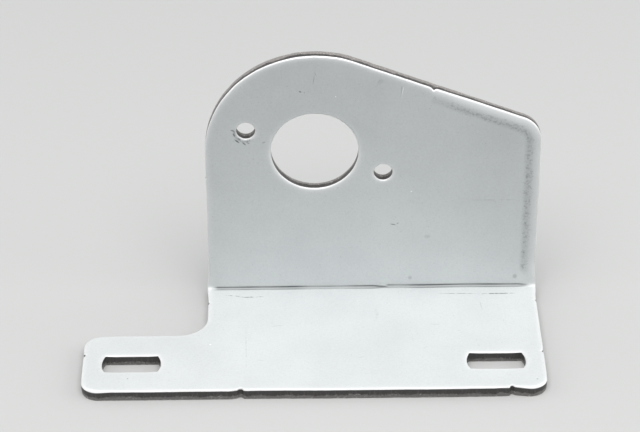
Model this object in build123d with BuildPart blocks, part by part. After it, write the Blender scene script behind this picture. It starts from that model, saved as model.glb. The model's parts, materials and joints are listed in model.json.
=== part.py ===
from build123d import *
from math import atan, degrees, radians, sin, sqrt, tan
import os

# Motor mounting bracket: one flat blank of steel sheet, punched from the side that ends up
# inside the fold, then folded once to a right angle and zinc plated. It is one piece.
# Millimetres. +Z is up, +X is to the right and -Y is towards the base's front edge.
# The origin is on the underside, at the middle of the overall length and depth.

# Sheet and fold
sheet = 2.0  # thickness
bend_radius = 0.65  # inside the fold, which a sharp-nosed tool made
bend_bulge = 0.25  # how far each end of the fold is squeezed out past the side
bulge_reach = 2.0  # from the middle of the fold to where that bulge dies out

# Base
base_length = 78.6  # ear included
base_depth = 31.8  # front edge to the back of the upright
ear_depth = 15.9
corner_radius = 3.0
ear_fillet = 5.0  # inside corner between the ear and the side
slot_length = 10.0
slot_width = 4.5
slot_end_radius = 5.0  # the slot punch is a round one with two flats
slot_corner = 0.2  # worn off the punch where they meet
slot_spacing = 62.0
slot_from_front = 7.75

# Upright
upright_width = 57.6
nose_radius = 18.8  # round the motor, about the boss bore's centre
nose_height = 30.2  # its centre above the underside
slope_angle = 21.4  # top edge, down to the right
upright_corner_radius = 5.0

# Motor face
boss_bore = 15.0  # clears the boss round the motor's shaft
screw_circle = 25.0
screw_hole = 3.2
screw_tilt = 20.0  # degrees, the left hole is the higher one

# Edges as the punch leaves them
edge_roll = 0.28  # rounded rim on the punched side

# Nicks where one hit of the tool meets the next, as width along the edge and depth
front_nick = (1.1, 0.55)
front_nick_places = (26.9, 72.5)  # from the ear's end
side_nick = (0.6, 0.4)
side_nick_from_front = 10.4
fold_nick = (0.4, 0.35)
fold_nick_from_fold = 3.7
slope_nick = (0.7, 0.3)
slope_nick_from_corner = 20.0  # along the slope, from its sharp corner

# Line that the folding tool's nose pressed along the inside of the fold
crease_gap = 0.36  # between its two edges
crease_width = 0.16
crease_depth = 0.06
crease_margin = 0.6  # left plain at each end
crease_join = 26.3  # from the right side, where two lengths of the tool meet
crease_step = 0.12  # how far those two are out of line

# Places that follow from the sizes
right_side = base_length / 2
left_side = right_side - upright_width
ear_end = -base_length / 2
front_edge = -base_depth / 2
back_face = base_depth / 2
front_face = back_face - sheet
ear_back = front_edge + ear_depth
upright_top = nose_height + nose_radius
nose_x = left_side + nose_radius
fold_y = front_face - bend_radius  # axis of the fold
fold_z = sheet + bend_radius
clear = 1.0  # how far a cutting shape stands out of the sheet
touching = 0.01  # closer than this counts as on a face or line

motor_plane = Plane(origin=(0, front_face, 0), x_dir=(1, 0, 0), z_dir=(0, -1, 0))
top_plane = Plane.XY.offset(sheet)
fold_plane = Plane(origin=(0, fold_y, fold_z), x_dir=(1, 0, 0), z_dir=(0, 1, -1))

# Upright's top line, in the motor plane: nose, slope and corner
slope_down = Vector(1, 0).rotate(Axis.Z, -slope_angle)
slope_out = Vector(0, 1).rotate(Axis.Z, -slope_angle)
slope_start = Vector(nose_x, nose_height) + slope_out * nose_radius
slope_run = (right_side - slope_start.X) / slope_down.X
sharp_corner = slope_start + slope_down * slope_run
corner_cut = upright_corner_radius * tan(radians(90 - slope_angle) / 2)
slope_end = sharp_corner - slope_down * corner_cut
side_start = sharp_corner - Vector(0, corner_cut)

# Bulge at each end of the fold: three arcs that leave and meet the side smoothly
bulge_turn = 2 * degrees(atan(bend_bulge / bulge_reach))
bulge_arc = bulge_reach / (2 * sin(radians(bulge_turn)))

with BuildSketch() as slot_outline:
    with BuildLine():
        corner_x = slot_length / 2 - slot_end_radius + sqrt(slot_end_radius**2 - slot_width**2 / 4)
        right_end = ThreePointArc(
            (corner_x, -slot_width / 2), (slot_length / 2, 0), (corner_x, slot_width / 2)
        )
        left_end = ThreePointArc(
            (-corner_x, slot_width / 2), (-slot_length / 2, 0), (-corner_x, -slot_width / 2)
        )
        Line(right_end @ 1, left_end @ 0)
        Line(left_end @ 1, right_end @ 0)
    make_face()
    fillet(vertices(), slot_corner)

with BuildPart() as motor_bracket:
    # Folded strip, with its fold squeezed out at both ends
    with BuildSketch(Plane.YZ.offset(left_side - bend_bulge)):
        with BuildLine():
            Polyline(
                (front_edge, 0),
                (back_face, 0),
                (back_face, upright_top),
                (front_face, upright_top),
                (front_face, sheet),
                (front_edge, sheet),
                close=True,
            )
        make_face()
        fillet(vertices().sort_by_distance((front_face, sheet))[0], bend_radius)
        fillet(vertices().sort_by_distance((back_face, 0))[0], bend_radius + sheet)
    extrude(amount=upright_width + 2 * bend_bulge)
    with BuildSketch(fold_plane):
        with BuildLine():
            reach = base_depth + upright_top
            for side, way in ((right_side, 1), (left_side, -1)):
                start = (side, -way * reach)
                bottom = Line(start, (side, -way * bulge_reach))
                swell = JernArc(bottom @ 1, (0, way), bulge_arc, -bulge_turn)
                crest = JernArc(swell @ 1, swell % 1, bulge_arc, 2 * bulge_turn)
                ebb = JernArc(crest @ 1, crest % 1, bulge_arc, -bulge_turn)
                Line(ebb @ 1, (side, way * reach))
                Line((right_side, way * reach), (left_side, way * reach))
        make_face()
    extrude(amount=reach, both=True, mode=Mode.INTERSECT)

    # Nose, slope and corner of the upright
    with BuildSketch(motor_plane):
        with BuildLine():
            RadiusArc((left_side, nose_height), slope_start, nose_radius)
            RadiusArc(slope_end, side_start, upright_corner_radius)
            Line(slope_start, slope_end)
            Polyline(
                side_start,
                (right_side + clear, side_start.Y),
                (right_side + clear, -clear),
                (left_side - clear, -clear),
                (left_side - clear, nose_height),
                (left_side, nose_height),
            )
        make_face()
    extrude(amount=base_depth, both=True, mode=Mode.INTERSECT)

    # Ear and the base's corners
    with BuildSketch(Plane.XY):
        with Locations((ear_end, front_edge)):
            Rectangle(base_length, ear_depth, align=Align.MIN)
    extrude(amount=sheet)
    standing_edges = edges().filter_by(Axis.Z)
    base_corners = ((ear_end, front_edge), (ear_end, ear_back), (right_side, front_edge))
    fillet([standing_edges.sort_by_distance((x, y, 0))[0] for x, y in base_corners], corner_radius)
    inner_corner = edges().filter_by(Axis.Z).sort_by_distance((left_side, ear_back, 0))[0]
    fillet(inner_corner, ear_fillet)

    # Boss bore and two screw holes
    with BuildSketch(motor_plane):
        with Locations((nose_x, nose_height)):
            Circle(boss_bore / 2)
            with PolarLocations(screw_circle / 2, 2, start_angle=180 - screw_tilt):
                Circle(screw_hole / 2)
    extrude(amount=sheet, both=True, mode=Mode.SUBTRACT)

    # Slots in the base
    with BuildSketch(top_plane):
        with Locations((0, front_edge + slot_from_front)):
            with GridLocations(slot_spacing, 0, 2, 1):
                add(slot_outline.sketch)
    extrude(amount=sheet, both=True, mode=Mode.SUBTRACT)

    # Rounded rim that the punch leaves on its own side
    base_top = faces().filter_by(Axis.Z).sort_by(Axis.Z)[-1]
    motor_face = [
        face for face in faces().filter_by(Axis.Y) if abs(face.center().Y - front_face) < touching
    ]
    punched_faces = ShapeList([base_top, *motor_face])
    fold_lines = [
        edge
        for edge in edges().filter_by(Axis.X)
        if abs(edge.center().Y - fold_y) < touching or abs(edge.center().Z - fold_z) < touching
    ]
    fillet([edge for edge in punched_faces.edges() if edge not in fold_lines], edge_roll)

    # Nicks through the edge, each a small V that points into the sheet
    side_nick_y = front_edge + side_nick_from_front
    fold_nick_y = fold_y - fold_nick_from_fold
    base_nicks = (
        ((ear_end + front_nick_places[0], front_edge), 0, front_nick),
        ((ear_end + front_nick_places[1], front_edge), 0, front_nick),
        ((ear_end, side_nick_y), -90, side_nick),
        ((right_side, side_nick_y), 90, side_nick),
        ((left_side, fold_nick_y), -90, fold_nick),
        ((right_side, fold_nick_y), 90, fold_nick),
    )
    slope_nick_place = sharp_corner - slope_down * slope_nick_from_corner
    slope_nicks = ((slope_nick_place, 180 - slope_angle, slope_nick),)
    for face_plane, nicks in ((top_plane, base_nicks), (motor_plane, slope_nicks)):
        with BuildSketch(face_plane):
            for place, turn, (width, depth) in nicks:
                with Locations(Location(Vector(place), turn)):
                    Polygon(
                        (-width / 2, -clear),
                        (width / 2, -clear),
                        (width / 2, 0),
                        (0, depth),
                        (-width / 2, 0),
                        align=None,
                    )
        extrude(amount=sheet, both=True, mode=Mode.SUBTRACT)

    # Two fine grooves, one at each edge of the folding tool's nose
    second_start = right_side - crease_join
    tool_lengths = (
        (left_side + crease_margin, second_start, 0),
        (second_start, right_side - crease_margin, crease_step),
    )
    for start, end, step in tool_lengths:
        with BuildSketch(Plane.YZ.offset(start)):
            with Locations((fold_y, fold_z)):
                for offset in (step - crease_gap / 2, step + crease_gap / 2):
                    with PolarLocations(bend_radius, 1, start_angle=-45 + degrees(offset / bend_radius)):
                        Polygon(
                            (-crease_width, -crease_width / 2),
                            (0, -crease_width / 2),
                            (crease_depth, 0),
                            (0, crease_width / 2),
                            (-crease_width, crease_width / 2),
                            align=None,
                        )
        extrude(amount=end - start, mode=Mode.SUBTRACT)

motor_bracket.part.label = "motor_bracket"
os.makedirs("parts", exist_ok=True)
export_step(motor_bracket.part, "parts/motor_bracket.step")
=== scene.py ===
import json
import math

import bpy
import numpy as np
from mathutils import Matrix, Vector, geometry, noise


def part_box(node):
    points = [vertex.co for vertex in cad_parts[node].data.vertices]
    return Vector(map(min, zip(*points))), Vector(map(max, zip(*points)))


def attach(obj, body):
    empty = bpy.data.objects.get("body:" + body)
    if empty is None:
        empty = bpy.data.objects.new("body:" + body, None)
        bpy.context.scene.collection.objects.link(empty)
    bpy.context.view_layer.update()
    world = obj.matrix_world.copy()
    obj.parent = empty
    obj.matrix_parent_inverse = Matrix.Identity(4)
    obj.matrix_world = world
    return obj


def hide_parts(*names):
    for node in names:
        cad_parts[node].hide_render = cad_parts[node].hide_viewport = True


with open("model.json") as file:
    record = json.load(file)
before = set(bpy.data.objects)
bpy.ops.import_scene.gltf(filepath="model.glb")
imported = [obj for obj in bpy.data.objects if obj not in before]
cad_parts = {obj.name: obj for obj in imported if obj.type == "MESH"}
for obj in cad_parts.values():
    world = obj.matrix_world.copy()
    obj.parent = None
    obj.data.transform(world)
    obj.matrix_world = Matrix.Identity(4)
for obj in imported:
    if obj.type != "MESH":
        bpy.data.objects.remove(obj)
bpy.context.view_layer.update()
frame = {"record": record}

# Everything is worked out in millimetres in the frame's own axes and turned to metres at the end.
mm = 0.001
low, high = (np.array(corner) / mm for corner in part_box("motor_bracket"))
mounts = {mount["name"]: mount for mount in frame["record"]["mounts"]}
bore = mounts["boss_bore"]
screws = mounts["motor_screws"]
slots = mounts["base_slots"]

sheetForm = {
    "thickness": 2.0,
    "back": 1.95,  # the far face; burrs stand up from it to the full thickness
    "bendRadius": 0.65,  # inside the fold
    "uprightWidth": 57.6,
    "baseLength": 78.6,
    "earDepth": 15.9,
    "cornerRadius": 3.0,
    "earFillet": 5.0,
    "uprightCorner": 5.0,
    "noseRadius": 18.8,
    "slopeAngle": 21.4,  # degrees, down to the right
    "slotEndRadius": 5.0,
    "slotCorner": 0.2,
    "screwTilt": 20.0,  # degrees, the left hole is the higher one
    "bulge": 0.25,  # squeezed out at each end of the fold
    "bulgeReach": 3.3,
}

# Places that follow from the frame
earEnd = low[0]
rightSide = earEnd + sheetForm["baseLength"]
leftSide = rightSide - sheetForm["uprightWidth"]
frontFace = high[1] - sheetForm["thickness"]
foldY = frontFace - sheetForm["bendRadius"]
foldZ = sheetForm["thickness"] + sheetForm["bendRadius"]
foldRun = sheetForm["bendRadius"] * math.pi / 2  # length of the fold, on its inside
noseHeight = high[2] - sheetForm["noseRadius"]


def flatFromBase(y):
    return y - foldY


def flatFromUpright(z):
    return z - foldZ + foldRun


# The blank's outline, laid flat: u across, v up the sheet, v = 0 where the fold starts
def samplePath(pieces, step, fineSpots=(), fineStep=0.05, fineReach=1.2):
    # points, inward normals and running length of a closed path of lines and arcs
    points, normals, runs, stations = [], [], [], {}
    run = 0.0
    for name, piece in pieces:
        stations[name] = run
        if len(piece) == 2:
            start, end = (np.array(p, float) for p in piece)
            length = np.linalg.norm(end - start)
            turn = None
        else:
            centre, radius, startAngle, endAngle = piece
            length = abs(math.radians(endAngle - startAngle)) * radius
            turn = 1 if endAngle > startAngle else -1
        spots = [0.0]
        near = [spot - run for spot in fineSpots]
        arcStep = step if turn is None else min(step, max(length / 4, fineStep), radius * 0.12)
        while True:
            close = any(abs(spots[-1] - spot) < fineReach for spot in near)
            nextSpot = spots[-1] + (fineStep if close else arcStep)
            if nextSpot > length - 0.4 * (fineStep if close else arcStep):
                break
            spots.append(nextSpot)
        for spot in spots:
            share = spot / length
            if turn is None:
                direction = (end - start) / length
                points.append(start + (end - start) * share)
                normals.append((-direction[1], direction[0]))
            else:
                angle = math.radians(startAngle + (endAngle - startAngle) * share)
                outward = np.array((math.cos(angle), math.sin(angle)))
                points.append(np.array(centre) + outward * radius)
                normals.append(-outward * turn)
            runs.append(run + spot)
        run += length
    stations["end"] = run
    return np.array(points), np.array(normals), np.array(runs), stations


def outlinePieces():
    form = sheetForm
    corner, fillet = form["cornerRadius"], form["earFillet"]
    noseR, sideR = form["noseRadius"], form["uprightCorner"]
    slope = math.radians(form["slopeAngle"])
    front = flatFromBase(low[1])
    earBack = flatFromBase(low[1] + form["earDepth"])
    nose = np.array((leftSide + noseR, flatFromUpright(noseHeight)))
    slopeOut = np.array((math.sin(slope), math.cos(slope)))
    slopeDown = np.array((math.cos(slope), -math.sin(slope)))
    slopeTop = nose + slopeOut * noseR
    sharp = slopeTop + slopeDown * (rightSide - slopeTop[0]) / slopeDown[0]
    cut = sideR * math.tan((math.pi / 2 - slope) / 2)
    slopeFoot = sharp - slopeDown * cut
    sideTop = sharp[1] - cut
    lean = 90 - form["slopeAngle"]
    return [
        ("front", ((earEnd + corner, front), (rightSide - corner, front))),
        ("frontRight", ((rightSide - corner, front + corner), corner, -90, 0)),
        ("right", ((rightSide, front + corner), (rightSide, sideTop))),
        ("topRight", ((rightSide - sideR, sideTop), sideR, 0, lean)),
        ("slope", (slopeFoot, slopeTop)),
        ("nose", (nose, noseR, lean, 180)),
        ("left", ((leftSide, nose[1]), (leftSide, earBack + fillet))),
        ("inner", ((leftSide - fillet, earBack + fillet), fillet, 0, -90)),
        ("earBack", ((leftSide - fillet, earBack), (earEnd + corner, earBack))),
        ("earTop", ((earEnd + corner, earBack - corner), corner, 90, 180)),
        ("earSide", ((earEnd, earBack - corner), (earEnd, front + corner))),
        ("earFront", ((earEnd + corner, front + corner), corner, 180, 270)),
    ]


def circlePieces(centre, radius):
    return [("round", (centre, radius, 90, -270))]


def slotPieces(centre, length, width):
    big, small, half = sheetForm["slotEndRadius"], sheetForm["slotCorner"], width / 2
    shift = length / 2 - big
    flatEnd = shift + math.sqrt((big - small) ** 2 - (half - small) ** 2)
    lean = math.degrees(math.atan2(half - small, flatEnd - shift))
    cx, cy = centre
    return [
        ("back", ((cx - flatEnd, cy + half), (cx + flatEnd, cy + half))),
        ("c1", ((cx + flatEnd, cy + half - small), small, 90, lean)),
        ("endRight", ((cx + shift, cy), big, lean, -lean)),
        ("c2", ((cx + flatEnd, cy - half + small), small, -lean, -90)),
        ("front", ((cx + flatEnd, cy - half), (cx - flatEnd, cy - half))),
        ("c3", ((cx - flatEnd, cy - half + small), small, -90, -180 + lean)),
        ("endLeft", ((cx - shift, cy), big, -180 + lean, -180 - lean)),
        ("c4", ((cx - flatEnd, cy + half - small), small, -180 - lean, -270)),
    ]


def smooth(value, start, end):
    # 0 before start, 1 after end, with a soft change between
    t = np.clip((value - start) / (end - start), 0, 1)
    return t * t * (3 - 2 * t)


def wave(run, length, seed):
    # slow wandering along an edge, about -1 to 1
    return np.array([noise.noise(Vector((value / length, seed * 7.3, 0.5))) * 2 for value in run])


# What the punching tool did to the edges
edgeForm = {
    "roll": (0.30, 0.18),  # width and depth of the rounded rim on the punched side
    "cornerRoll": (0.62, 0.32),  # an outside corner is pulled down more
    "cornerReach": (1.0, 5.0),  # from a corner's middle, to where that is full and to where it is gone
    "sag": (1.4, 0.06, 4.0),  # gentle fall of the face towards the rim: width, depth, steepness
    "uprightSag": (1.5, 0.14, 4.0),
    "wideSag": (2.3, 0.46, 2.5),  # from the slope's nick to the fold, where the sheet pulled down most
    "wideStart": (1.0, 4.5),  # above the fold, where that begins and where it is full
    "wideEnd": (9.0, 0.6),  # before the slope's nick, where it starts to ease and where it stops
    "wideEased": 0.55,  # share of it that the easing takes
    "sagBorderShade": (0.05, 0.9),  # shares of the wide sag between which the painted shade line along its border comes in
    "land": 0.60,  # share of the wall that the tool left burnished
    "uprightLand": 0.42,
    # the land's ragged end, as waves: length, share of the wall, seed
    "ragged": ((0.9, 0.07, 5), (0.35, 0.04, 9), (3.1, 0.06, 6)),
    "sagHighlightAndPolish": 0.55,  # how much of the rim's painted highlight and polish the sagging part gets, beside the rim's own 1
    "rollEnd": 74.0,  # degrees, how steep the rim gets before it breaks into the wall
    "tear": 0.07,  # how far the torn part of the wall falls back
    "tearRough": 0.022,
    "ripples": (24.0, 30.0, 36.0),  # along the nose, where one hit of the tool shows beside the next
    "step": 0.22,  # between two points along the edge
    "band": 1.7,  # width of the fine mesh beside it
    "wideBand": 3.0,
}
holeForms = {
    "bore": {"roll": (0.32, 0.18), "sag": edgeForm["uprightSag"], "step": 0.2, "band": 1.6},
    "screw": {"roll": (0.26, 0.16), "sag": (1.0, 0.08, 3.0), "step": 0.12, "band": 1.1},
    "slot": {"roll": (0.30, 0.17), "sag": edgeForm["sag"], "step": 0.18, "band": 1.3},
}

# Nicks where two hits of the tool meet: (distance along, depth) about each place
nickForms = {
    "frontLeft": ((-2.0, 0.0), (-1.3, 0.08), (-0.8, 0.2), (-0.6, 0.22), (-0.5, 0.34), (-0.25, 0.55),
                  (0.0, 0.6), (0.2, 0.56), (0.42, 0.3), (0.55, 0.13), (1.0, 0.1), (5.0, 0.08),
                  (14.0, 0.0)),
    "frontRight": ((-12.0, 0.0), (-3.0, 0.08), (-0.5, 0.14), (-0.38, 0.4), (-0.15, 0.7), (0.0, 0.74),
                   (0.15, 0.66), (0.5, 0.36), (1.0, 0.24), (1.8, 0.12), (2.9, 0.0)),
    "side": ((-0.9, 0.0), (-0.35, 0.05), (-0.05, 0.36), (0.05, 0.38), (0.3, 0.08), (1.0, 0.0)),
    "earSide": ((-1.6, 0.0), (-0.4, 0.06), (-0.05, 0.44), (0.06, 0.46), (0.4, 0.1), (0.9, 0.0)),
    "fold": ((-0.5, 0.0), (-0.14, 0.1), (0.0, 0.36), (0.14, 0.12), (0.5, 0.0)),
    "leftSpeck": ((-0.3, 0.0), (0.0, 0.12), (0.3, 0.0)),
    "ripple": ((-0.8, 0.0), (-0.1, 0.04), (0.15, 0.01), (0.9, 0.0)),
}
slopeNick = ((-0.6, 0.0), (-0.38, 0.06), (-0.2, 0.26), (0.0, 0.32), (0.2, 0.22), (0.5, 0.06), (0.9, 0.0))
nickPlaces = {  # the stretch of the outline, and how far along it
    "frontLeft": ("front", 26.9 - sheetForm["cornerRadius"]),
    "frontRight": ("front", 72.5 - sheetForm["cornerRadius"]),
    "side": ("right", 10.4 - sheetForm["cornerRadius"]),
    "earSide": ("earSide", 2.5),
    "foldRight": ("right", 22.45),
    "foldLeft": ("left", flatFromUpright(noseHeight) + 3.7),
    "leftSpeck": ("left", 5.2),
}
slopeNickPlace = ("slope", 16.6)


class Loop:
    # one closed edge of the blank, with what the tool did along it
    def __init__(self, pieces, form, fineSpots=()):
        self.points, self.normals, self.runs, self.stations = samplePath(pieces, form["step"], fineSpots)
        self.length = self.stations["end"]
        count = len(self.points)
        self.rollWidth = np.full(count, form["roll"][0])
        self.rollDepth = np.full(count, form["roll"][1])
        self.sag = np.tile(form["sag"], (count, 1))
        self.band = np.full(count, float(form["band"]))
        self.land = np.full(count, edgeForm["land"])
        self.dent = np.zeros(count)
        self.rimDent = np.zeros(count)  # only on the punched side
        # rubbed zinc, and painted shade along the border of the wide sag
        self.worn = np.zeros(count)
        self.wornRows = (0.0, 0.0, 0.3, 0.7, 1.0)  # from the plain sheet to the roll
        self.litAndPale = np.zeros(count)  # 1 where the torn part is drawn lighter: painted light on the upright's walls, lighter streaks by the front-right corner

    def station(self, name, along=0.0):
        return self.stations[name] + along

    def away(self, middle):
        # distance along the loop, the shorter way round
        gap = np.abs(self.runs - middle)
        return np.minimum(gap, self.length - gap)

    def dentAt(self, shape, place):
        where, depth = zip(*shape)
        return np.interp(self.runs - place, where, depth, left=0, right=0)


def makeOutline():
    pieces = outlinePieces()
    stations = samplePath(pieces, 5.0)[3]
    cornerV = flatFromBase(low[1]) + sheetForm["cornerRadius"]
    rightFold = stations["right"] + foldRun / 2 - cornerV
    leftFold = stations["left"] + flatFromUpright(noseHeight) - foldRun / 2
    spots = [stations[name] + along for name, along in [*nickPlaces.values(), slopeNickPlace]]
    loop = Loop(pieces, edgeForm, spots + [rightFold, leftFold])
    runs = loop.runs
    sag, uprightSag, wideSag = (np.array(edgeForm[name]) for name in ("sag", "uprightSag", "wideSag"))

    # the sag is wide from the slope's nick round the corner and down to the fold
    nickRun = loop.station(*slopeNickPlace)
    begins, isFull = edgeForm["wideStart"]
    eases, stops = edgeForm["wideEnd"]
    eased = edgeForm["wideEased"]
    fromFold = smooth(runs, rightFold + begins, rightFold + isFull)
    toNick = 1 - eased * smooth(runs, nickRun - eases, nickRun - stops)
    toNick -= (1 - eased) * smooth(runs, nickRun - stops, nickRun)
    wide = fromFold * toNick * (runs > rightFold) * (runs < nickRun)
    onUpright = smooth(runs, rightFold, rightFold + 3.0) * (1 - smooth(runs, leftFold - 3.0, leftFold))
    loop.sag += onUpright[:, None] * (uprightSag - sag)
    loop.sag += wide[:, None] * (wideSag - uprightSag)
    # painted shade: a darker, specked line along the inner border of the wide sag
    loop.worn = smooth(wide, *edgeForm["sagBorderShade"])
    loop.wornRows = (0.0, 1.0, 0.7, 0.15, 0.0)
    bandStarts = smooth(runs, rightFold + 0.6, rightFold + 3.5)
    bandEnds = 1 - smooth(runs, nickRun - 0.6, nickRun + 3.0)
    loop.band += bandStarts * bandEnds * (edgeForm["wideBand"] - edgeForm["band"])

    for corner, after in (("frontRight", "right"), ("earFront", "end"), ("earTop", "earSide")):
        near = 1 - smooth(loop.away((stations[corner] + stations[after]) / 2), *edgeForm["cornerReach"])
        loop.rollWidth += near * (edgeForm["cornerRoll"][0] - edgeForm["roll"][0])
        loop.rollDepth += near * (edgeForm["cornerRoll"][1] - edgeForm["roll"][1])
    loop.rollWidth *= 1 + 0.10 * wave(runs, 3.0, 1)
    loop.rollDepth *= 1 + 0.08 * wave(runs, 2.0, 2)
    loop.land += onUpright * (edgeForm["uprightLand"] - edgeForm["land"])
    # painted light on the upright's cut walls, and lighter streaks by the front-right corner
    loop.litAndPale = onUpright + 0.7 * (1 - smooth(np.abs(runs - stations["right"] + 1.6), 1.4, 3.4))

    for name, (piece, along) in nickPlaces.items():
        loop.dent += loop.dentAt(nickForms.get(name, nickForms["fold"]), loop.station(piece, along))
    for along in edgeForm["ripples"]:
        loop.dent += loop.dentAt(nickForms["ripple"], loop.station("nose", along))
    loop.rimDent += loop.dentAt(slopeNick, nickRun)
    loop.dent += 0.012 * (1 + wave(runs, 1.2, 3)) + 0.015 * (1 + wave(runs, 7.0, 4))  # never quite straight
    loop.dent = np.maximum(loop.dent, 0)
    return loop


def makeHole(pieces, name, seed):
    loop = Loop(pieces, holeForms[name])
    loop.rollWidth *= 1 + 0.12 * wave(loop.runs, 2.5, seed)
    loop.rollDepth *= 1 + 0.08 * wave(loop.runs, 2.0, seed + 1)
    loop.dent += 0.008 * wave(loop.runs, 0.9, seed + 2)
    return loop


def makeSlot(centre, seed):
    size = (slots["dims"]["slot_length_mm"], 2 * slots["dims"]["hole_r_mm"])
    slot = makeHole(slotPieces(centre, *size), "slot", seed)
    slot.land += 0.08
    for name in ("c1", "c2", "c3", "c4"):  # the roll dies out in the slot's corners
        gap = slot.away(slot.station(name, 0.1))
        slot.rollDepth *= 0.35 + 0.65 * smooth(gap, 0.0, 1.8)
        slot.rollWidth *= 0.45 + 0.55 * smooth(gap, 0.0, 1.2)
    return slot


def makeLoops():
    boreX, boreZ = bore["pos_m"][0] / mm, bore["pos_m"][2] / mm
    boreV = flatFromUpright(boreZ)
    found = [makeOutline(), makeHole(circlePieces((boreX, boreV), bore["dims"]["r_mm"]), "bore", 11)]
    ring, tilt = screws["dims"]["pcd_mm"] / 2, math.radians(sheetForm["screwTilt"])
    for index, side in enumerate((1, -1)):
        centre = (boreX - side * ring * math.cos(tilt), boreV + side * ring * math.sin(tilt))
        found.append(makeHole(circlePieces(centre, screws["dims"]["hole_r_mm"]), "screw", 21 + 10 * index))
    left = found[2]  # a screw head has rubbed beside this one, at its lower left
    left.worn = 1.3 - 1.3 * smooth(np.abs(left.runs - 0.6 * left.length), 1.2, 2.4)
    left.rollWidth += 0.12 * (1 - smooth(np.abs(left.runs - 0.5 * left.length), 1.0, 3.4))
    slotX, slotV = slots["pos_m"][0] / mm, flatFromBase(slots["pos_m"][1] / mm)
    slotReach = slots["dims"]["spacing_x_mm"] / 2
    for index, side in enumerate((-1, 1)):
        found.append(makeSlot((slotX + side * slotReach, slotV), 41 + 10 * index))
    return found


loops = makeLoops()
print("blank:", [len(loop.points) for loop in loops], "points along its edges")


rowForm = {  # where the rows of points lie across an edge, as shares of each part
    "band": (1.0, 0.72, 0.48, 0.28, 0.12),  # from the plain sheet to the roll
    "rollSteps": 8,
    "land": (0.04, 0.3, 0.65, 0.94),
    "torn": (0.08, 0.3, 0.55, 0.8, 0.97),
    "back": (0.25, 0.5, 1.0),
}


def rowsAcross(loop):
    # each row: place into the sheet, depth below the punched face, then wall share, rim share (polish and
    # painted highlight) and the share of rubbed zinc and painted shade
    count = len(loop.points)
    none, full = np.zeros(count), np.ones(count)
    thickness, backDepth = sheetForm["thickness"], sheetForm["back"]
    width, rollDepth, band = loop.rollWidth, loop.rollDepth, loop.band
    rows = []
    for share, worn in zip(rowForm["band"], loop.wornRows):
        rows.append((width + (band - width) * share, none, none, none, loop.worn * worn))
    end = math.radians(edgeForm["rollEnd"])
    for step in range(rowForm["rollSteps"] + 1):
        share = step / rowForm["rollSteps"]
        into = width * (1 - math.sin(end * share) / math.sin(end))
        fall = rollDepth * (1 - math.cos(end * share)) / (1 - math.cos(end))
        rows.append((into, fall, none, full * share**1.5, loop.worn * loop.wornRows[-1] * (1 - share)))
    sagWidth, sagDepth, steepness = loop.sag.T
    for number, (into, fall, wallShare, rimHighlightAndPolish, wornShare) in enumerate(rows):
        near = np.clip(1 - into / sagWidth, 0, 1)
        # the rim's painted highlight and polish spread over the sagging part
        rimHighlightAndPolish = np.maximum(rimHighlightAndPolish, edgeForm["sagHighlightAndPolish"] * near ** (steepness * 0.7))
        rows[number] = (into, fall + sagDepth * near**steepness, wallShare, rimHighlightAndPolish, wornShare)
    brink = rows[-1][1]
    ragged = sum(wave(loop.runs, length, seed) * height for length, height, seed in edgeForm["ragged"])
    landEnd = brink + (backDepth - brink) * np.clip(loop.land + ragged, 0.2, 0.86)
    for share in rowForm["land"]:
        rows.append((none, brink + (landEnd - brink) * share, none + 0.02 + share * 0.46, none, none))
    tear = edgeForm["tear"]
    for share in rowForm["torn"]:
        swell = math.sin(math.pi * min(share + 0.1, 1))
        rough = edgeForm["tearRough"] * wave(loop.runs + share * 31, 0.45, 7) * swell
        back = tear * smooth(np.full(count, share), -0.1, 0.7) + rough
        rows.append((back, landEnd + (backDepth - landEnd) * share, none + 0.5 + 0.48 * share, none, none))
    burr = (thickness - backDepth) * np.clip(0.4 + 0.9 * wave(loop.runs, 1.3, 8), 0, 1)
    rows.append((full * tear * 0.8, backDepth + burr, full, none, none))
    rows.append((full * (tear + 0.07), backDepth + burr * 0.5, none + 0.98, none, none))
    for share in rowForm["back"]:
        rows.append((band * share, full * backDepth, none, none, none))
    return rows


def buildEdges():
    # points, marks and faces of every edge; a ring is its first row, its last row and their length
    names = ("flat", "depth", "wallShare", "rimHighlightAndPolish", "wornLine", "edgeRun", "tornLitAndPale")
    blocks = {name: [] for name in names}
    quads, rings = [], []
    total = 0
    for number, loop in enumerate(loops):
        count = len(loop.points)
        starts = []
        for into, deep, wallShare, rimHighlightAndPolish, wornShare in rowsAcross(loop):
            starts.append(total)
            total += count
            dent = loop.dent + loop.rimDent * (1 - smooth(deep, 0.35, 1.3))
            reach = into + dent * np.clip(1 - into / loop.band, 0, 1)
            place = loop.points + loop.normals * reach[:, None]
            running = loop.runs + 400.0 * number  # so that no two edges share a pattern
            values = (place, deep, wallShare, rimHighlightAndPolish, wornShare, running, loop.litAndPale)
            for name, value in zip(names, values):
                blocks[name].append(value)
        for upper, lower in zip(starts, starts[1:]):
            for i in range(count):
                j = (i + 1) % count
                quads.append((upper + i, lower + i, lower + j, upper + j))
        rings.append((starts[0], starts[-1], count))
    return {name: np.concatenate(block) for name, block in blocks.items()}, quads, rings


def insideRing(points, ring):
    # which points lie inside a closed ring
    x, y = points[:, 0, None], points[:, 1, None]
    x1, y1 = ring[:, 0], ring[:, 1]
    x2, y2 = np.roll(x1, -1), np.roll(y1, -1)
    crosses = ((y1 > y) != (y2 > y)) & (x < (x2 - x1) * (y - y1) / (y2 - y1 + 1e-12) + x1)
    return crosses.sum(axis=1) % 2 == 1


def inMetal(points, ringFlats):
    inside = insideRing(points, ringFlats[0])
    for ring in ringFlats[1:]:
        inside &= ~insideRing(points, ring)
    return inside


def awayFrom(points, ring, gap):
    return np.array([np.min(np.sum((ring - p) ** 2, axis=1)) > gap * gap for p in points])


fillForm = {  # points between the edges, in mm
    "foldRow": 0.04,  # across the fold, fine enough for the pressed lines
    "foldColumn": 0.62,
    "besideFold": 0.5,
    "broad": 3.1,
    "clear": 0.35,  # from any edge's band
}


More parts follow.
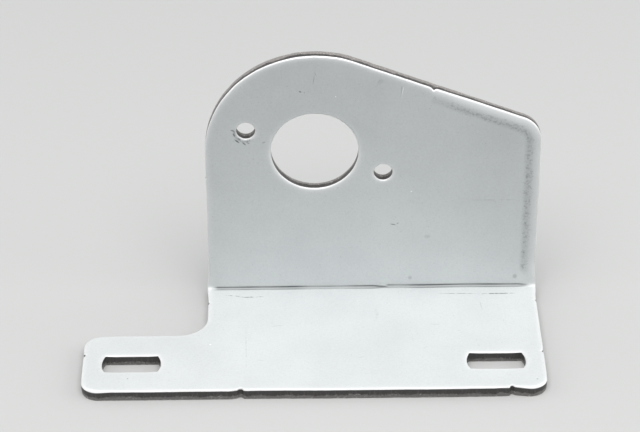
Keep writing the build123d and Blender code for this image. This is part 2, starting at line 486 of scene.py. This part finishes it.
def fillPoints(ringFlats):
    # fine rows along the fold and a broad net elsewhere
    nearFold = np.concatenate([
        np.arange(-2.9, -0.35, fillForm["besideFold"]),
        np.arange(-0.2, foldRun + 0.25, fillForm["foldRow"]),
        np.arange(foldRun + 0.4, foldRun + 3.0, fillForm["besideFold"]),
    ])
    columns = np.arange(leftSide + 1.4, rightSide - 1.3, fillForm["foldColumn"])
    foldPoints = np.array([(u, v) for v in nearFold for u in columns])
    broad = fillForm["broad"]
    levels = np.arange(flatFromBase(low[1]), flatFromUpright(high[2]), broad * 0.87)
    net = np.array([
        (u + (row % 2) * broad / 2, v)
        for row, v in enumerate(levels)
        for u in np.arange(low[0], high[0], broad)
        if not -3.6 < v < foldRun + 3.7
    ])
    points = np.concatenate([foldPoints, net])
    points = points[inMetal(points, ringFlats)]
    keep = np.ones(len(points), bool)
    for ring in ringFlats:
        keep &= awayFrom(points, ring, fillForm["clear"])
    return points[keep]


def buildBlank():
    # the whole blank, laid flat: the edges, and both faces between them
    marks, faces, rings = buildEdges()
    flat = marks["flat"]
    ringFlats = [flat[top : top + count] for top, _, count in rings]
    inner = fillPoints(ringFlats)
    border, borderIndex, borderEdges = [], [], []
    for top, bottom, count in rings:
        first = len(border)
        border += [Vector(p) for p in flat[top : top + count]]
        borderIndex += [(top + i, bottom + i) for i in range(count)]
        borderEdges += [(first + i, first + (i + 1) % count) for i in range(count)]
    net = geometry.delaunay_2d_cdt(border + [Vector(p) for p in inner], borderEdges, [], 0, 1e-6)
    places, triangles, sources = net[0], net[2], net[3]
    topIndex, backIndex = {}, {}
    for index, fromPoints in enumerate(sources):
        source = min(fromPoints)
        if source < len(border):
            topIndex[index], backIndex[index] = borderIndex[source]
        else:
            topIndex[index] = len(flat) + source - len(border)
            backIndex[index] = topIndex[index] + len(inner)
    middles = np.array([np.mean([places[i] for i in face], axis=0) for face in triangles])
    for (a, b, c), good in zip(triangles, inMetal(middles, ringFlats)):
        if good:
            faces.append((topIndex[a], topIndex[b], topIndex[c]))
            faces.append((backIndex[c], backIndex[b], backIndex[a]))
    more = {name: np.zeros(2 * len(inner)) for name in marks}
    more["flat"] = np.concatenate([inner, inner])
    more["depth"] = np.repeat([0.0, sheetForm["back"]], len(inner))
    return {name: np.concatenate([values, more[name]]) for name, values in marks.items()}, faces


creaseForm = {
    "gap": 0.40,  # between the two lines that the folding tool's nose pressed
    "width": (0.26, 0.32),  # the lower line and the upper one
    "strength": (0.8, 1.0),
    "depth": 0.06,
    "margin": 0.6,
    "join": 26.3,  # from the right side, where two lengths of the tool meet
    "step": 0.12,
    "below": -0.10,  # from the middle of the fold
    "between": 0.45,  # how much of the lines' painted shade the strip between them has
}


def pressCrease(u, v, depth):
    # deepens the two lines inside the fold, and returns the new depth and how much painted shade each point
    # gets
    form = creaseForm
    joinU = rightSide - form["join"]
    start, end = leftSide + form["margin"], rightSide - form["margin"]
    second = u > joinU
    drift = np.where(second, form["step"], 0.0) + 0.03 * wave(u, 9.0, 61)
    fade = smooth(u, start, start + 1.2) * (1 - smooth(u, end - 1.6, end))
    closing = smooth(u, end - 2.6, end)
    taper = smooth(u, joinU - 2.5, joinU) * ~second  # the first pair draws to a tip where the second starts
    spread = form["gap"] / 2 * (1 - 0.9 * closing - 0.7 * taper)
    punchedSide = 1 - smooth(depth, 0.2, 0.6)
    off = v - foldRun / 2 - form["below"] - drift
    groove = np.zeros(len(u))
    for side, width, strength in zip((-1, 1), form["width"], form["strength"]):
        groove = np.maximum(groove, strength * np.exp(-(((off - side * spread) / (width / 2)) ** 2)))
    groove *= fade * (0.85 + 0.2 * wave(u, 4.0, 62)) * punchedSide
    # painted shade on the strip between the two lines
    strip = form["between"] * (1 - smooth(np.abs(off), spread, spread + 0.05)) * fade * punchedSide
    return depth + groove * form["depth"], np.maximum(groove, strip)


def squeezeEnds(u, v, depth):
    # the fold's ends stand out on its inside and are drawn in on its outside
    bump = 1 - smooth(np.abs(v - foldRun / 2), 0.0, sheetForm["bulgeReach"])
    outward = np.where(u > (leftSide + rightSide) / 2, 1.0, -1.0)
    sideGap = np.minimum(np.abs(u - leftSide), np.abs(u - rightSide))
    hold = np.exp(-((sideGap / 1.2) ** 2)) * (sideGap < 3.5)
    return u + outward * bump * hold * sheetForm["bulge"] * (1 - 1.25 * depth / sheetForm["thickness"])


def foldBlank(u, v, depth):
    # the punched face goes inside
    turn = np.clip(v / foldRun, 0, 1) * math.pi / 2
    radius = sheetForm["bendRadius"] + depth
    y = foldY + radius * np.sin(turn) + np.minimum(v, 0)
    z = foldZ - radius * np.cos(turn) + np.maximum(v - foldRun, 0)
    return np.stack([u, y, z], axis=1)


def makeMesh(name, points, faces, marks):
    mesh = bpy.data.meshes.new(name)
    mesh.from_pydata((points * mm).tolist(), [], faces)
    mesh.polygons.foreach_set("use_smooth", [True] * len(faces))
    for label, values in marks.items():
        layer = mesh.attributes.new(label, "FLOAT", "POINT")
        layer.data.foreach_set("value", np.asarray(values, np.float32))
    mesh.update()
    piece = bpy.data.objects.new(name, mesh)
    bpy.context.scene.collection.objects.link(piece)
    return piece


marks, faces = buildBlank()
(u, v), depth = marks.pop("flat").T, marks.pop("depth")
# deeper grooves, and a mask of painted shade along the fold's lines
depth, marks["creaseShade"] = pressCrease(u, v, depth)
bracket = makeMesh("foldedBracket", foldBlank(squeezeEnds(u, v, depth), v, depth), faces, marks)
print("mesh:", len(u), "points,", len(faces), "faces")


# Materials
def colour(hexText):
    # sRGB hex to linear
    parts = [int(hexText[i : i + 2], 16) / 255 for i in (1, 3, 5)]
    return [p / 12.92 if p <= 0.04045 else ((p + 0.055) / 1.055) ** 2.4 for p in parts] + [1.0]


def addNode(tree, kind, inputs=None, out=0, **settings):
    # adds a node, gives it its settings and inputs, and returns the output asked for
    node = tree.nodes.new(kind)
    for name, value in settings.items():
        setattr(node, name, value)
    for name, value in (inputs or {}).items():
        if isinstance(value, bpy.types.NodeSocket):
            tree.links.new(value, node.inputs[name])
        else:
            node.inputs[name].default_value = value
    return node.outputs[out] if node.outputs else node


def perMetre(size):
    # pattern scale for features of this size in millimetres
    return 1 / (size * mm)


plating = {
    "tones": {
        "light": "#d3d8d8",
        "dark": "#cbd0d1",
        "rim": "#fbfcfc",  # nearly white: painted highlight on the rim, which the punch's pull also polished
        "pressed": "#363c3d",  # painted shade in the lines inside the fold
        "worn": "#7d8384",  # where the zinc is rubbed, and painted shade along the wide sag's border
    },
    "mottle": (0.72, 1.28),  # clouds and grain together, from light to dark
    "lineDarkness": 0.24,  # how strongly the line of rubbed zinc and painted shade shows between its specks
    "speckMore": 0.3,  # how much thicker the specks lie there
    "specks": (0.63, 1.0, 0.75),  # of the speck pattern: first shown, strongest, and how strong that is
    "metallic": 0.2,  # the thin crystalline zinc scatters, so it is far from a mirror
    "rimMetallic": 0.5,
    "roughness": 0.58,
    "roughnessSpread": 0.05,
    "rimRoughness": 0.4,
    "cloud": 9.0,  # mm, faint patches in the plating
    "grain": 0.35,  # mm, mottling; the real grain is finer, drawn as coarse as it needs to show
    "grainHeight": 0.01,  # mm
    "grainRelief": 0.3,  # how much of that height shows
    "speck": 0.32,  # mm
}
level = (0, 0, 0)  # a mark that isn't turned
wearForm = {
    "broken": 0.9,  # mm, gaps in the longer scratches
    "gaps": (0.38, 0.56),  # of that pattern, from fully gone to fully there
    "breaksOver": 1.6,  # mm, half a mark's length from which it is broken up
    "solid": 0.45,  # share of a mark's half size inside which it has its full strength
    # tone: (middle, half size, turn in degrees, strength); the upright's face is at y 13.9, the base's at z 2
    "marks": {
        "#5f6566": [
            ((-1.95, 13.9, 42.2), (0.26, 0.5, 0.16), (0, 35, 0), 0.9),
            ((-1.2, 13.9, 42.0), (0.12, 0.5, 0.10), level, 0.6),
            ((0.35, 13.9, 44.5), (0.10, 0.5, 1.1), (0, 8, 0), 0.35),
            ((0.65, 13.9, 45.6), (0.09, 0.5, 0.5), (0, -25, 0), 0.3),
            ((-13.45, 13.9, 34.6), (0.50, 0.5, 0.12), (0, 20, 0), 0.9),
            ((-13.25, 13.9, 33.7), (0.46, 0.5, 0.13), (0, 60, 0), 0.8),
            ((-12.75, 13.9, 32.5), (0.66, 0.5, 0.15), (0, 40, 0), 1.0),
            ((-12.35, 13.9, 32.9), (0.34, 0.5, 0.10), (0, 35, 0), 0.8),
            ((-11.55, 13.9, 32.0), (0.52, 0.5, 0.14), (0, 42, 0), 0.9),
            ((-10.85, 13.9, 32.1), (0.36, 0.5, 0.10), (0, 25, 0), 0.7),
            ((-8.20, 13.9, 32.2), (0.36, 0.5, 0.16), (0, -20, 0), 0.4),
            ((14.1, 13.9, 15.2), (0.62, 0.5, 0.13), (0, 12, 0), 0.75),
            ((14.9, 13.9, 15.45), (0.28, 0.5, 0.11), (0, -35, 0), 0.6),
            ((-31.45, -12.4, 2.0), (0.16, 0.14, 0.5), level, 0.8),
            ((37.55, -13.6, 2.0), (0.20, 0.14, 0.5), level, 0.7),
            ((-13.7, 11.5, 2.0), (2.0, 0.13, 0.5), (0, 0, -9), 0.8),
            ((-10.6, 11.1, 2.0), (2.4, 0.16, 0.5), (0, 0, 3), 0.9),
            ((25.6, 11.6, 2.0), (3.9, 0.12, 0.5), (0, 0, -1), 0.7),
            ((32.6, 11.5, 2.0), (4.2, 0.16, 0.5), (0, 0, 1), 0.9),
        ],
        "#a9afb0": [
            ((31.6, 13.9, 20.1), (5.3, 0.5, 0.10), (0, 0.3, 0), 0.55),
            ((20.15, 13.9, 12.6), (0.7, 0.5, 0.45), level, 0.4),
            ((17.25, 13.9, 3.9), (0.45, 0.5, 0.5), level, 0.6),
            ((35.75, 13.9, 4.0), (0.5, 0.5, 0.6), level, 0.7),
            ((-6.25, 2.4, 2.0), (1.3, 0.10, 0.5), (0, 0, 10), 0.5),
            ((20.95, 2.4, 2.0), (1.2, 0.10, 0.5), (0, 0, -8), 0.5),
            ((29.45, 7.9, 2.0), (0.10, 1.5, 0.5), (0, 0, 6), 0.5),
            ((-11.55, -4.5, 2.0), (0.10, 7.5, 0.5), (0, 0, 1), 0.4),
            ((11.05, 5.6, 2.0), (0.5, 1.7, 0.5), level, 0.35),
            ((8.05, -7.0, 2.0), (0.9, 0.12, 0.5), (0, 0, 20), 0.35),
            ((-8.95, -7.6, 2.0), (0.8, 0.12, 0.5), (0, 0, -15), 0.35),
            ((19.15, -4.3, 2.0), (0.7, 0.12, 0.5), (0, 0, 40), 0.35),
        ],
        "#ffffff": [
            ((4.05, 13.9, 41.2), (0.14, 0.5, 0.14), level, 1.0),
            ((17.15, 13.9, 22.0), (0.13, 0.5, 0.18), level, 1.0),
            ((-17.7, -2.9, 2.0), (0.20, 0.16, 0.5), level, 0.9),
        ],
    },
}
cutEdge = {
    "tones": {
        # the bare steel's own darker tone, deepened as painted shade for the dark surroundings its burnish
        # reflects
        "land": "#494847",
        "dragged": "#636160",  # lighter streaks down the land
        "torn": "#8a8886",
        "burr": "#cfcdca",  # bright specks of it
        # lighter torn tone: painted light on the upright's walls, and the streaks by the front-right corner
        "litAndPaleTorn": "#918e8c",
    },
    "streak": 0.25,  # mm, ragged patches of the fracture
    "drag": 0.35,  # mm, between two streaks down the land
    "dragStretch": 0.2,  # how little those change from top to bottom
    "dragShown": (0.5, 0.8),  # of that pattern, from none to full
    "grit": 0.25,  # mm
    "gritShown": (0.58, 0.72),  # of that pattern, from none to a full bright speck
    "gritHeight": 0.06,  # mm
    "gritRelief": 0.8,  # how much of that height shows
    "streakHeight": 0.4,  # of the streaks, beside the grit's own 1
    "tornFrom": (0.44, 0.58),  # shares of the wall between which land turns to fracture
    "uneven": 0.6,  # how far the streaks move that
    "metallic": 0.3,
    "landRoughness": 0.42,
    "tornRoughness": 0.65,
}
mixed = {"out": 2, "data_type": "RGBA"}  # makes a Mix node one for colours


def newMaterial(name):
    material = bpy.data.materials.new(name)
    material.use_nodes = True
    material.node_tree.nodes.clear()
    return material, material.node_tree


def zincPlatedSheet():
    # Cold-rolled steel, zinc plated and pale passivated: a satin metal with a faint fine mottle
    material, tree = newMaterial("zincPlatedSheet")
    tones = {name: colour(tone) for name, tone in plating["tones"].items()}
    place = addNode(tree, "ShaderNodeTexCoord", out="Object")
    rimHighlightAndPolish = addNode(tree, "ShaderNodeAttribute", out="Fac", attribute_name="rimHighlightAndPolish")
    creaseShade = addNode(tree, "ShaderNodeAttribute", out="Fac", attribute_name="creaseShade")
    wornLine = addNode(tree, "ShaderNodeAttribute", out="Fac", attribute_name="wornLine")
    cloud = addNode(tree, "ShaderNodeTexNoise", {"Vector": place, "Scale": perMetre(plating["cloud"]),
                                                 "Detail": 2.0})
    grain = addNode(tree, "ShaderNodeTexNoise", {"Vector": place, "Scale": perMetre(plating["grain"]),
                                                 "Detail": 3.0, "Roughness": 0.6})
    blend = addNode(tree, "ShaderNodeMath", {0: cloud, 1: grain}, operation="ADD")
    lightest, darkest = plating["mottle"]
    amount = addNode(tree, "ShaderNodeMapRange", {"Value": blend, "From Min": lightest, "From Max": darkest})
    body = addNode(tree, "ShaderNodeMix", {0: amount, 6: tones["light"], 7: tones["dark"]}, **mixed)
    # painted shade in the pressed lines inside the fold
    body = addNode(tree, "ShaderNodeMix", {0: creaseShade, 6: body, 7: tones["pressed"]}, **mixed)
    # painted highlight on the rim and on the sag beside it
    body = addNode(tree, "ShaderNodeMix", {0: rimHighlightAndPolish, 6: body, 7: tones["rim"]}, **mixed)
    specks = addNode(tree, "ShaderNodeTexNoise", {"Vector": place, "Scale": perMetre(plating["speck"]),
                                                  "Detail": 2.0, "Roughness": 0.7})
    specks = addNode(tree, "ShaderNodeMath", {0: wornLine, 1: plating["speckMore"], 2: specks},
                     operation="MULTIPLY_ADD")
    first, strongest, strength = plating["specks"]
    specks = addNode(tree, "ShaderNodeMapRange", {"Value": specks, "From Min": first, "From Max": strongest,
                                                  "To Max": strength})
    lineDarkness = addNode(tree, "ShaderNodeMath", {0: wornLine, 1: plating["lineDarkness"]}, operation="MULTIPLY")
    specks = addNode(tree, "ShaderNodeMath", {0: lineDarkness, 1: specks}, operation="MAXIMUM")
    # rubbed zinc, and painted shade along the wide sag's border
    body = addNode(tree, "ShaderNodeMix", {0: specks, 6: body, 7: tones["worn"]}, **mixed)
    broken = addNode(tree, "ShaderNodeTexNoise", {"Vector": place, "Scale": perMetre(wearForm["broken"]),
                                                  "Detail": 2.0})
    gone, there = wearForm["gaps"]
    broken = addNode(tree, "ShaderNodeMapRange", {"Value": broken, "From Min": gone, "From Max": there})
    for tone, marks in wearForm["marks"].items():
        shown = None
        for spot, halfSize, turn, strength in marks:
            local = addNode(tree, "ShaderNodeMapping", {
                "Vector": place, "Location": [part * mm for part in spot],
                "Rotation": [math.radians(part) for part in turn], "Scale": [part * mm for part in halfSize],
            }, vector_type="TEXTURE")
            far = addNode(tree, "ShaderNodeVectorMath", {0: local}, out="Value", operation="LENGTH")
            mark = addNode(tree, "ShaderNodeMapRange", {"Value": far, "From Min": 1.0,
                                                        "From Max": wearForm["solid"], "To Max": strength})
            if max(halfSize) > wearForm["breaksOver"]:
                mark = addNode(tree, "ShaderNodeMath", {0: mark, 1: broken}, operation="MULTIPLY")
            if shown is not None:
                mark = addNode(tree, "ShaderNodeMath", {0: mark, 1: shown}, operation="MAXIMUM")
            shown = mark
        body = addNode(tree, "ShaderNodeMix", {0: shown, 6: body, 7: colour(tone)}, **mixed)
    metallic = addNode(tree, "ShaderNodeMapRange", {"Value": rimHighlightAndPolish, "To Min": plating["metallic"],
                                                    "To Max": plating["rimMetallic"]})
    spread = plating["roughnessSpread"]
    rough = addNode(tree, "ShaderNodeMapRange", {"Value": grain, "To Min": plating["roughness"] - spread,
                                                 "To Max": plating["roughness"] + spread})
    rough = addNode(tree, "ShaderNodeMapRange", {"Value": rimHighlightAndPolish, "To Min": rough,
                                                 "To Max": plating["rimRoughness"]})
    bump = addNode(tree, "ShaderNodeBump", {"Height": grain, "Strength": plating["grainRelief"],
                                            "Distance": plating["grainHeight"] * mm})
    shader = addNode(tree, "ShaderNodeBsdfPrincipled", {"Base Color": body, "Metallic": metallic,
                                                        "Roughness": rough, "Normal": bump})
    addNode(tree, "ShaderNodeOutputMaterial", {"Surface": shader})
    return material


def punchedEdge():
    # Sheared steel wall: a dark burnished land, its tone deepened as painted shade, then a paler torn part
    # that scatters more light, lighter still on the upright's walls as painted light
    material, tree = newMaterial("punchedEdge")
    tones = {name: colour(tone) for name, tone in cutEdge["tones"].items()}
    place = addNode(tree, "ShaderNodeTexCoord", out="Object")
    share = addNode(tree, "ShaderNodeAttribute", out="Fac", attribute_name="wallShare")
    along = addNode(tree, "ShaderNodeAttribute", out="Fac", attribute_name="edgeRun")  # mm
    streakPlace = addNode(tree, "ShaderNodeCombineXYZ", {"X": along, "Y": share})
    streak = addNode(tree, "ShaderNodeTexNoise", {"Vector": streakPlace, "Scale": 1 / cutEdge["streak"],
                                                  "Detail": 4.0})
    drag = addNode(tree, "ShaderNodeMath", {0: share, 1: cutEdge["dragStretch"]}, operation="MULTIPLY")
    drag = addNode(tree, "ShaderNodeCombineXYZ", {"X": along, "Y": drag})
    drag = addNode(tree, "ShaderNodeTexNoise", {"Vector": drag, "Scale": 1 / cutEdge["drag"], "Detail": 3.0})
    first, last = cutEdge["dragShown"]
    drag = addNode(tree, "ShaderNodeMapRange", {"Value": drag, "From Min": first, "From Max": last})
    grit = addNode(tree, "ShaderNodeTexNoise", {"Vector": place, "Scale": perMetre(cutEdge["grit"]),
                                                "Detail": 3.0})
    edge = addNode(tree, "ShaderNodeMath", {0: streak, 1: 0.5}, operation="SUBTRACT")
    edge = addNode(tree, "ShaderNodeMath", {0: edge, 1: cutEdge["uneven"], 2: share},
                   operation="MULTIPLY_ADD")
    first, last = cutEdge["tornFrom"]
    torn = addNode(tree, "ShaderNodeMapRange", {"Value": edge, "From Min": first, "From Max": last})
    litAndPale = addNode(tree, "ShaderNodeAttribute", out="Fac", attribute_name="tornLitAndPale")
    # lighter torn part: painted light on the upright's walls, lighter streaks by the front-right corner
    tornTone = addNode(tree, "ShaderNodeMix", {0: litAndPale, 6: tones["torn"], 7: tones["litAndPaleTorn"]}, **mixed)
    first, last = cutEdge["gritShown"]
    bright = addNode(tree, "ShaderNodeMapRange", {"Value": grit, "From Min": first, "From Max": last})
    tornTone = addNode(tree, "ShaderNodeMix", {0: bright, 6: tornTone, 7: tones["burr"]}, **mixed)
    # land tone, partly painted shade
    body = addNode(tree, "ShaderNodeMix", {0: drag, 6: tones["land"], 7: tones["dragged"]}, **mixed)
    body = addNode(tree, "ShaderNodeMix", {0: torn, 6: body, 7: tornTone}, **mixed)
    rough = addNode(tree, "ShaderNodeMapRange", {"Value": torn, "To Min": cutEdge["landRoughness"],
                                                 "To Max": cutEdge["tornRoughness"]})
    height = addNode(tree, "ShaderNodeMath", {0: grit, 1: torn}, operation="MULTIPLY")
    height = addNode(tree, "ShaderNodeMath", {0: streak, 1: cutEdge["streakHeight"], 2: height},
                     operation="MULTIPLY_ADD")
    bump = addNode(tree, "ShaderNodeBump", {"Height": height, "Strength": cutEdge["gritRelief"],
                                            "Distance": cutEdge["gritHeight"] * mm})
    shader = addNode(tree, "ShaderNodeBsdfPrincipled", {"Base Color": body, "Metallic": cutEdge["metallic"],
                                                        "Roughness": rough, "Normal": bump})
    addNode(tree, "ShaderNodeOutputMaterial", {"Surface": shader})
    return material


bracket.data.materials.append(zincPlatedSheet())
bracket.data.materials.append(punchedEdge())
onWall = marks["wallShare"] > 0.01
faceWall = [int(all(onWall[i] for i in face)) for face in faces]
bracket.data.polygons.foreach_set("material_index", faceWall)
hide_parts("motor_bracket")
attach(bracket, "root")
print("bracket dressed")


# Floor, light and camera
stageForm = {
    "floor": "#bcbebd",
    "floorBounce": "#46474a",  # what it throws back on the object, which keeps the upright's shading
    "floorSize": 3.0,
    "floorRoughness": 0.9,
    "floorShine": 0.1,
    "world": 0.44,
    "aim": (0.0, 0.0, 0.02),  # metres
    "lamps": {  # name: place in metres, size in metres, watts, colour
        "overhead": ((0.0, -0.20, 0.60), (0.7, 0.6), 4.3, "#fffcfc"),
        "left": ((-0.58, -0.02, 0.26), (0.5, 0.35), 0.8, "#ffffff"),
        "right": ((0.58, -0.02, 0.26), (0.5, 0.35), 1.2, "#ffffff"),
        "backLeft": ((-0.46, 0.40, 0.30), (0.4, 0.3), 0.4, "#ffffff"),
        "backRight": ((0.46, 0.40, 0.30), (0.4, 0.3), 0.4, "#ffffff"),
    },
}


def softBox(name, place, size, power, tint):
    lamp = bpy.data.lights.new(name, "AREA")
    lamp.shape = "RECTANGLE"
    lamp.size, lamp.size_y = size
    lamp.energy = power
    lamp.color = colour(tint)[:3]
    holder = bpy.data.objects.new(name, lamp)
    bpy.context.scene.collection.objects.link(holder)
    holder.location = place
    holder.rotation_euler = (Vector(stageForm["aim"]) - Vector(place)).to_track_quat("-Z", "Y").to_euler()


def makeStage():
    half = stageForm["floorSize"] / 2
    corners = [(-half, -half, 0), (half, -half, 0), (half, half, 0), (-half, half, 0)]
    mesh = bpy.data.meshes.new("floor")
    mesh.from_pydata(corners, [], [(0, 1, 2, 3)])
    floor = bpy.data.objects.new("floor", mesh)
    bpy.context.scene.collection.objects.link(floor)
    material, tree = newMaterial("matteFloor")
    path = addNode(tree, "ShaderNodeLightPath").node.outputs  # several of its outputs are used
    seen = addNode(tree, "ShaderNodeMath", {0: path["Is Camera Ray"], 1: path["Is Glossy Ray"]},
                   operation="MAXIMUM")
    seen = addNode(tree, "ShaderNodeMath", {0: seen, 1: path["Is Transmission Ray"]}, operation="MAXIMUM")
    bounce, paper = colour(stageForm["floorBounce"]), colour(stageForm["floor"])
    paper = addNode(tree, "ShaderNodeMix", {0: seen, 6: bounce, 7: paper}, **mixed)
    shader = addNode(tree, "ShaderNodeBsdfPrincipled", {
        "Base Color": paper, "Roughness": stageForm["floorRoughness"],
        "Specular IOR Level": stageForm["floorShine"],
    })
    addNode(tree, "ShaderNodeOutputMaterial", {"Surface": shader})
    floor.data.materials.append(material)

    world = bpy.data.worlds.new("studio")
    bpy.context.scene.world = world
    world.use_nodes = True
    world.node_tree.nodes["Background"].inputs["Color"].default_value = (1, 1, 1, 1)
    world.node_tree.nodes["Background"].inputs["Strength"].default_value = stageForm["world"]
    for name, (place, size, power, tint) in stageForm["lamps"].items():
        softBox(name, place, size, power, tint)


cameraForm = {
    "place": (-4.37, -373.73, 272.93),  # mm
    "lens": 150.476,  # on a 36 mm wide sensor
    "down": 33.421,  # degrees
    "turn": -0.851,
    "roll": -0.072,
}


def makeCamera():
    data = bpy.data.cameras.new("camera")
    data.sensor_width = 36.0
    data.lens = cameraForm["lens"]
    data.clip_start = 0.01
    camera = bpy.data.objects.new("camera", data)
    bpy.context.scene.collection.objects.link(camera)
    turn = Matrix.Rotation(math.radians(cameraForm["turn"]), 4, "Z")
    tip = Matrix.Rotation(math.radians(90 - cameraForm["down"]), 4, "X")
    roll = Matrix.Rotation(math.radians(cameraForm["roll"]), 4, "Z")
    camera.matrix_world = Matrix.Translation(Vector(cameraForm["place"]) * mm) @ turn @ tip @ roll
    bpy.context.scene.camera = camera


makeStage()
makeCamera()
bpy.context.scene.view_settings.view_transform = "Standard"
print("stage set")
